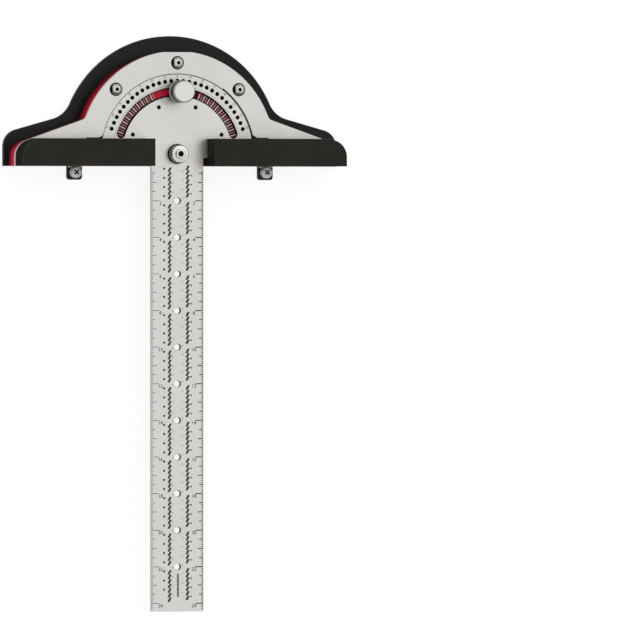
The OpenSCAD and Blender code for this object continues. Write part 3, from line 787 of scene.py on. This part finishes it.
# CAD node: (material, width of its edge rounding in mm)
DRESS = {
    "rear_plate": (BLACK_PLATE, 0.1),
    "body_block": (RED_BODY, 0.2),
    "front_plate": (PLATE_STEEL, 0.15),
    "fence_bar_left": (BLACK_BAR, 0.5),
    "fence_bar_right": (BLACK_BAR, 0.5),
    "pivot_bush": (turned("bush_brass_turned", colour(0.72, 0.5, 0.2), 0.3, PIVOT), 0.05),
    # The pivot washer is black as painted shade: a dark ring round the pivot screw's head
    "pivot_washer": (plated("pivot_washer_black_shade", colour(0.02, 0.02, 0.022), 0.5), 0.12),
    # The pivot screw's walls are dimmed and its socket darkened as painted shade
    "pivot_screw": (turned("pivot_screw_turned", colour(0.85, 0.85, 0.83), 0.3, PIVOT, side=0.12,
                           socket=(PIVOT_SOCKET, top_of("pivot_screw"))), 0.06),
    "pivot_nut": (plated("nut_plated", colour(0.55, 0.55, 0.53), 0.34), 0.15),
    # The plate screws' edges, sockets and left turning heads are painted dark as shade
    "plate_screws": (plated("button_screw_steel", colour(0.85, 0.85, 0.83), 0.3,
                            (PLATE_SCREWS_AT, PLATE_SOCKET, top_of("plate_screws"))), 0.08),
    "fence_screws": (plated("fence_screw_steel", colour(0.5, 0.5, 0.5), 0.36), 0.06),
    "rear_screws": (plated("rear_screw_steel", colour(0.5, 0.5, 0.5), 0.36), 0.06),
    "lock_stud": (turned("stud_turned", colour(0.55, 0.55, 0.54), 0.34, KNOB_AT), 0.05),
    "detent_screws": (plated("grub_blackened", colour(0.05, 0.05, 0.055), 0.42), 0.05),
    "index_spring": (plated("spring_wire_outer", colour(0.5, 0.5, 0.5), 0.3), 0),
    "half_step_spring": (plated("spring_wire_inner", colour(0.5, 0.5, 0.5), 0.3), 0),
    "index_ball": (plated("ball_polished_outer", colour(0.8, 0.8, 0.8), 0.12), 0),
    "half_step_ball": (plated("ball_polished_inner", colour(0.8, 0.8, 0.8), 0.12), 0),
    "lock_washer": (turned("lock_washer_turned", colour(0.66, 0.66, 0.64), 0.34, KNOB_AT), 0.1),
    "lock_knob": (knurled("knob_turned", colour(0.82, 0.815, 0.79), 0.32, KNOB_AT,
                          *node_range("lock_knob", 2)), 0.08),
    "lip_left": (BLACK_PLATE, 0.3),
    "lip_right": (BLACK_PLATE, 0.3),
}


def lip_screw(side):
    """Paler steel for a lip's screw, with its socket painted dark as shade; gives an entry of the list
    above.
    """
    screw = "lip_screw_" + side
    socket = ([(middle_of(screw, 0), middle_of(screw, 1))], LIP_SOCKET, top_of(screw))
    steel = plated("lip_screw_steel_" + side, colour(0.92, 0.92, 0.9), 0.4, socket,
                   shaded=False, metallic=0.35)
    return steel, 0.08


for side in ("left", "right"):
    DRESS["lip_screw_" + side] = lip_screw(side)

WELD_GAP = 0.001
EDGE_SEGMENTS = 2
SHARP = math.radians(35)


def dress(node, material, edge):
    """Gives a CAD node its material and rounds its sharp edges by a width in millimetres."""
    piece = frame["nodes"][node]
    for i in range(len(piece.data.materials)):
        piece.data.materials[i] = material
    if edge:
        weld = piece.modifiers.new("weld", "WELD")
        weld.merge_threshold = WELD_GAP * MM
        bevel = piece.modifiers.new("edge", "BEVEL")
        bevel.width = edge * MM
        bevel.segments = EDGE_SEGMENTS
        bevel.limit_method = "ANGLE"
        bevel.angle_limit = SHARP
        normals = piece.modifiers.new("normals", "WEIGHTED_NORMAL")
        normals.keep_sharp = False


for node, (material, edge) in DRESS.items():
    dress(node, material, edge)


# ---- The blade, with its scribing holes ----

def scribing_holes():
    """Loops of the slanted rows of fine holes beside the centre line."""
    loops = []
    for cell in range(-1, CENTRE_COUNT + 1):
        for x, offset in SCRIBE_ROWS:
            for row in range(ROWS_IN_CELL):
                middle = Vector((x, long_mark(cell) - offset - row * SCRIBE_PITCH))
                for k in range(HOLES_IN_ROW):
                    spot = middle + SCRIBE_STEP * (k - (HOLES_IN_ROW - 1) / 2)
                    if SCRIBE_LOW < spot.y < SCRIBE_HIGH:
                        loops.append(ring(spot.x, spot.y, SCRIBE_HOLE, SCRIBE_FACETS))
    return loops


def build_blade():
    """The blade plate: outline, bore, slot, index, half step and centre holes, then the fine holes."""
    big = [blade_outline(), ring(*PIVOT, PIVOT_BORE, PIVOT_FACETS), slot_loop()]
    seats = [on_ring(INDEX_R, a) for a in INDEX_ANGLES]
    seats += [on_ring(HALF_R, side * a) for side in (-1, 1) for a in HALF_ANGLES]
    for spot in seats:
        big.append(ring(spot.x, spot.y, INDEX_HOLE, INDEX_FACETS))
    for i in range(CENTRE_COUNT):
        big.append(ring(0, long_mark(i), CENTRE_HOLE, CENTRE_FACETS))
    mesh = sheet("blade_plate", big + scribing_holes(), len(big), BLADE_BOTTOM, BLADE_TOP, BLADE_CHAMFER)
    mesh.materials.append(BLADE_STEEL)
    mesh.materials.append(CUT_EDGE)
    blade = place("blade_plate", mesh, "blade")
    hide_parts("blade")


build_blade()


# ---- Marks, in millimetres and degrees ----

# Graduations along the blade's edges: lengths at 20, 10, 5 and 1 mm, and the gaps outside and above them
LONG, HALF, FIVE, ONE = 4.4, 3.0, 2.3, 1.0
EDGE_GAP = 0.13
FENCE_GAP = 2
LINE_W = 0.3
FINE_W = 0.27
# Graduations on the right are this much bolder
BOLDER = 0.22
NUMERAL_X = 9.6
NUMERAL_DROP = 1.4
NUMERAL_H = 1.9

# Columns of dots on the blade: (x, how far the first one is below a long graduation, how many in a cell)
ROW_DOTS, ROW_DOT_D = ((-7.5, 2.5, 4), ), 1.25
SIDE_DOTS, SIDE_DOT_D = ((7.9, 6.2, 3), ), 0.95
FINE_DOTS, FINE_DOT_D = ((3.0, 3.9, 4), (-2.6, 0.5, 4)), 0.55
DOT_STEP = CENTRE_PITCH / 4
DOTS_LOW, DOTS_HIGH = BLADE_TIP + 7, FENCE_Y - 1

# The row of strokes near the blade's tip
LEGEND_UP = 8
LEGEND_X = 0.4
LEGEND_W = 1.1
LEGEND_STEP = 0.9
LEGEND_INK = 0.8
LEGEND_STROKES = 14

# Ticks and numbers outside the disc's index holes, and a fine circle inside them
TICK_IN, TICK_OUT = INDEX_R + 1.35, INDEX_R + 1.9
FINE_LINE = 0.16
DEGREES_R = INDEX_R + 2.6
DEGREES_H = 1.15
CIRCLE_R = 37.3
CIRCLE_END = 76

# The scale under the arc slot: its ground, the turns that the ground covers, and its lines
GROUND_W = 3.5
GROUND_TURNS = ((-77, -24), (9, 77))
GROUND_IN, GROUND_OUT = SLOT_R - GROUND_W / 2, SLOT_R + GROUND_W / 2
SCALE_FIRST = 22.5
SCALE_STEP = 2.5
SCALE_LINES = 21
HEAVY_W, LIGHT_W = 0.65, 0.4
# The scale's lines stand prouder than its ground
LINE_PROUD = 0.022

# Painted shade bands on the deck under the disc, and how far they stay from the ball bores at the middle,
# outside and inside
UNDER_DISC_SHADE_W = 6.4
UNDER_DISC_SHADE_END = 78
UNDER_DISC_SHADE_CLEAR_OUT, UNDER_DISC_SHADE_CLEAR_IN = 2.2, 3.2

# Painted contact shadows round the front plate's screws
SCREW_SHADOW_R = PLATE_SCREW_D / 2 + 0.3
SCREW_SHADOW_W = 0.8

# Shade along the front plate's window, from an angle on: the window's arc, its foot's height, and the corner
WINDOW_R = 43.9
WINDOW_FOOT = 8.9
WINDOW_CORNER = 3
SHADE_W = 0.5
SHADE_GAP = 0.05
SHADE_FROM = 36

# A line across each lip
WITNESS_W = 8.1
WITNESS_DROP = 0.3
WITNESS_H = 0.9
LIP_TOP = top_of("rear_plate") - 0.03

FACE = top_of("front_plate")


def blade_ticks():
    """Millimetre graduations along both edges: longer at 5, 10 and 20 mm."""
    loops = []
    edge = BLADE_W / 2 - EDGE_GAP
    first = math.ceil(-CENTRE_FIRST - FENCE_Y) + FENCE_GAP
    last = int(-BLADE_TIP - CENTRE_FIRST)
    for mm in range(first, last):
        length = next((size for step, size in ((20, LONG), (10, HALF), (5, FIVE)) if mm % step == 0), ONE)
        for side, bold in ((-1, 0), (1, BOLDER)):
            width = (FINE_W if length == ONE else LINE_W) + bold
            loops.append(bar(side * edge, side * (edge - length), -CENTRE_FIRST - mm, width))
    return loops


def blade_numbers():
    """Centimetres at each long graduation, beside both edges."""
    return [(str(2 * i + 2), (side * NUMERAL_X, long_mark(i) - NUMERAL_DROP), 0)
            for i in range(CENTRE_COUNT + 1) for side in (-1, 1)]


def blade_dots(columns, diameter):
    """Columns of round marks down the blade."""
    loops = []
    for cell in range(-1, CENTRE_COUNT + 1):
        for x, offset, count in columns:
            for k in range(count):
                y = long_mark(cell) - offset - k * DOT_STEP
                if DOTS_LOW < y < DOTS_HIGH:
                    loops.append(dot(x, y, diameter))
    return loops


def blade_legend():
    """A plain row of strokes up the middle of the blade, near its tip, in place of lettering."""
    left, right = LEGEND_X - LEGEND_W / 2, LEGEND_X + LEGEND_W / 2
    bottom = BLADE_TIP + LEGEND_UP
    return [bar(left, right, bottom + (i + 0.5) * LEGEND_STEP, LEGEND_STEP * LEGEND_INK)
            for i in range(LEGEND_STROKES)]


def disc_marks():
    """A short tick outside each index hole."""
    return [spoke(a, TICK_IN, TICK_OUT, FINE_LINE) for a in INDEX_ANGLES]


def disc_numbers():
    """Degrees outside every other index hole."""
    return [(str(abs(a)), on_ring(DEGREES_R, a), a) for a in INDEX_ANGLES[::2]]


def disc_circle():
    """A fine circle between the arc slot and the index holes."""
    return [(PIVOT, CIRCLE_R, FINE_LINE, (-CIRCLE_END, CIRCLE_END))]


def scale_ground():
    """The dark red ground under the arc slot, partly print and partly painted shade of the slot's floor,
    which leaves the deck red beside the knob.
    """
    return [(PIVOT, SLOT_R, GROUND_W, turn) for turn in GROUND_TURNS]


def scale_lines(heavy):
    """The heavy or the light lines under the arc slot. They alternate, from a heavy one at the right."""
    loops = []
    for side in (-1, 1):
        for k in range(SCALE_LINES):
            if (k % 2 == (0 if side > 0 else 1)) == heavy:
                degrees = side * (SCALE_FIRST + k * SCALE_STEP)
                loops.append(spoke(degrees, GROUND_IN, GROUND_OUT, HEAVY_W if heavy else LIGHT_W))
    return loops


def slide_bands():
    """Black bands of painted shade on the deck under the disc, seen through its holes and along the slot's
    edges, to both sides of the scale, clear of the ball bores.
    """
    rows = ((GROUND_OUT + UNDER_DISC_SHADE_W / 2, UNDER_DISC_SHADE_CLEAR_OUT), (GROUND_IN - UNDER_DISC_SHADE_W / 2, UNDER_DISC_SHADE_CLEAR_IN))
    return [(PIVOT, radius, UNDER_DISC_SHADE_W, turn)
            for radius, clear in rows for turn in ((-UNDER_DISC_SHADE_END, -clear), (clear, UNDER_DISC_SHADE_END))]


def screw_seats():
    """Painted contact shadow round each of the front plate's screws."""
    return [(centre, SCREW_SHADOW_R, SCREW_SHADOW_W, (0, 360)) for centre in PLATE_SCREWS_AT]


def window_shade():
    """Dark line on the front plate along the right part of its window, round to the foot of the window."""
    turn_y = WINDOW_FOOT + WINDOW_CORNER
    turn_x = math.sqrt((WINDOW_R + WINDOW_CORNER) ** 2 - turn_y ** 2)
    end = math.degrees(math.atan2(turn_x, turn_y))
    off = SHADE_W / 2 + SHADE_GAP
    return [(PIVOT, WINDOW_R + off, SHADE_W, (SHADE_FROM, end)),
            ((turn_x, turn_y), WINDOW_CORNER - off, SHADE_W, (180, 180 + end))]


def witness(side):
    """A line across a lip where it comes out of the fence."""
    middle = middle_of("lip_" + side, 0)
    return [bar(middle - WITNESS_W / 2, middle + WITNESS_W / 2, FENCE_Y - WITNESS_DROP, WITNESS_H)]


inlay("blade_graduations", blade_ticks(), BLADE_TOP, ETCH, "blade")
numerals("blade_numerals", blade_numbers(), BLADE_TOP, NUMERAL_H, ETCH, "blade")
inlay("blade_row_marks", blade_dots(ROW_DOTS, ROW_DOT_D), BLADE_TOP, ETCH, "blade")
inlay("blade_side_marks", blade_dots(SIDE_DOTS, SIDE_DOT_D), BLADE_TOP, ETCH, "blade")
inlay("blade_legend", blade_legend(), BLADE_TOP, ETCH, "blade")
inlay("blade_fine_marks", blade_dots(FINE_DOTS, FINE_DOT_D), BLADE_TOP, ETCH, "blade")
inlay("disc_marks", disc_marks(), BLADE_TOP, FAINT_ETCH, "blade")
numerals("disc_numerals", disc_numbers(), BLADE_TOP, DEGREES_H, FAINT_ETCH, "blade")
bands("slot_scale_ground", scale_ground(), DECK, DARK_RED, "head")
inlay("slot_scale_main", scale_lines(True), DECK, WHITE_PAINT, "head", LINE_PROUD)
inlay("slot_scale_half", scale_lines(False), DECK, PALE_PAINT, "head", LINE_PROUD)
# Painted shade: bands under the disc, contact shadows round the screws, and a line along the window
bands("slide_bands", slide_bands(), DECK, SHADE_INK, "head")
bands("screw_seats", screw_seats(), FACE, SHADE_INK, "head")
bands("window_shade", window_shade(), FACE, SHADE_INK, "head")
bands("disc_circle", disc_circle(), BLADE_TOP, FAINT_ETCH, "blade")
for side in ("left", "right"):
    inlay("lip_witness_" + side, witness(side), LIP_TOP, WHITE_PAINT, "lip_" + side)


# ---- Stage, light and camera ----

# The camera's turn to the left of the graduated face, and what it sees, in millimetres
VIEW_YAW = math.radians(18)
VIEW_WIDTH = 349.7
VIEW_CENTRE = (77.87, -90.75)
VIEW_DISTANCE = 12000
VIEW_END = 100000
SENSOR = 36

FLOOR_HALF = 4000
FLOOR_GAP = 0.2
FLOOR_GLOW = 0.86

# Strength of the surroundings straight up, and level at the left and at the right
ZENITH, LEFT_WALL, RIGHT_WALL = 0.66, 0.8, 0.05
# The walls give way to the ceiling between these rises
WALL_TOP, CEILING_FROM = 0.1, 0.75
SUN_FROM = (0.45, 0.5, 1.0)
SUN_STRENGTH = 0.36
SUN_SPREAD = 50


def floor():
    """A plain white floor under the rear plate. It looks white to the camera and lights the object less."""
    bm = bmesh.new()
    bmesh.ops.create_grid(bm, x_segments=1, y_segments=1, size=FLOOR_HALF * MM)
    mesh = bpy.data.meshes.new("floor")
    bm.to_mesh(mesh)
    bm.free()
    p = Paint("floor_white")
    seen = p.node("ShaderNodeLightPath", {}).outputs["Is Camera Ray"]
    p.set(Base_Color=p.mix(seen, colour(0.75, 0.75, 0.75), colour(0.25, 0.25, 0.25)), Roughness=0.9)
    p.set(Emission_Color=colour(1, 1, 1), Emission_Strength=p.math("MULTIPLY", seen, FLOOR_GLOW))
    p.set(Specular_IOR_Level=0.0)
    mesh.materials.append(p.material)
    stage = bpy.data.objects.new("floor", mesh)
    bpy.context.scene.collection.objects.link(stage)
    stage.location.z = cad_box[0].z - FLOOR_GAP * MM


def sun():
    """Soft parallel light from the upper right."""
    data = bpy.data.lights.new("key_light", "SUN")
    data.energy = SUN_STRENGTH
    data.angle = math.radians(SUN_SPREAD)
    lamp = bpy.data.objects.new("key_light", data)
    lamp.rotation_euler = Vector(SUN_FROM).normalized().to_track_quat("Z", "Y").to_euler()
    bpy.context.scene.collection.objects.link(lamp)


def camera():
    """Looks down on the graduated face, from a little to its left."""
    right = Vector((math.cos(VIEW_YAW), 0, math.sin(VIEW_YAW)))
    up = Vector((0, 1, 0))
    back = right.cross(up)
    data = bpy.data.cameras.new("camera")
    data.sensor_width = SENSOR
    data.lens = SENSOR * VIEW_DISTANCE / VIEW_WIDTH
    data.clip_end = VIEW_END * MM
    cam = bpy.data.objects.new("camera", data)
    target = Vector((0, 0, FACE)) + right * VIEW_CENTRE[0] + up * VIEW_CENTRE[1]
    turn = Matrix((right, up, back)).transposed().to_4x4()
    cam.matrix_world = Matrix.Translation((target + back * VIEW_DISTANCE) * MM) @ turn
    bpy.context.scene.collection.objects.link(cam)
    bpy.context.scene.camera = cam


def world():
    """Studio surroundings: an even ceiling, a bright left wall and a dark right wall."""
    sky = bpy.data.worlds.new("studio")
    sky.use_nodes = True
    nodes, links = sky.node_tree.nodes, sky.node_tree.links
    direction = nodes.new("ShaderNodeSeparateXYZ")
    links.new(nodes.new("ShaderNodeTexCoord").outputs["Generated"], direction.inputs[0])
    across = nodes.new("ShaderNodeMapRange")
    links.new(direction.outputs["X"], across.inputs["Value"])
    across.inputs["From Min"].default_value = -1
    across.inputs["To Min"].default_value = LEFT_WALL
    across.inputs["To Max"].default_value = RIGHT_WALL
    rise = nodes.new("ShaderNodeMapRange")
    rise.interpolation_type = "SMOOTHSTEP"
    links.new(direction.outputs["Z"], rise.inputs["Value"])
    links.new(across.outputs["Result"], rise.inputs["To Min"])
    rise.inputs["From Min"].default_value = WALL_TOP
    rise.inputs["From Max"].default_value = CEILING_FROM
    rise.inputs["To Max"].default_value = ZENITH
    links.new(rise.outputs["Result"], nodes["Background"].inputs["Strength"])
    nodes["Background"].inputs["Color"].default_value = (1, 1, 1, 1)
    bpy.context.scene.world = sky


floor()
world()
sun()
camera()
bpy.context.scene.view_settings.view_transform = "Standard"
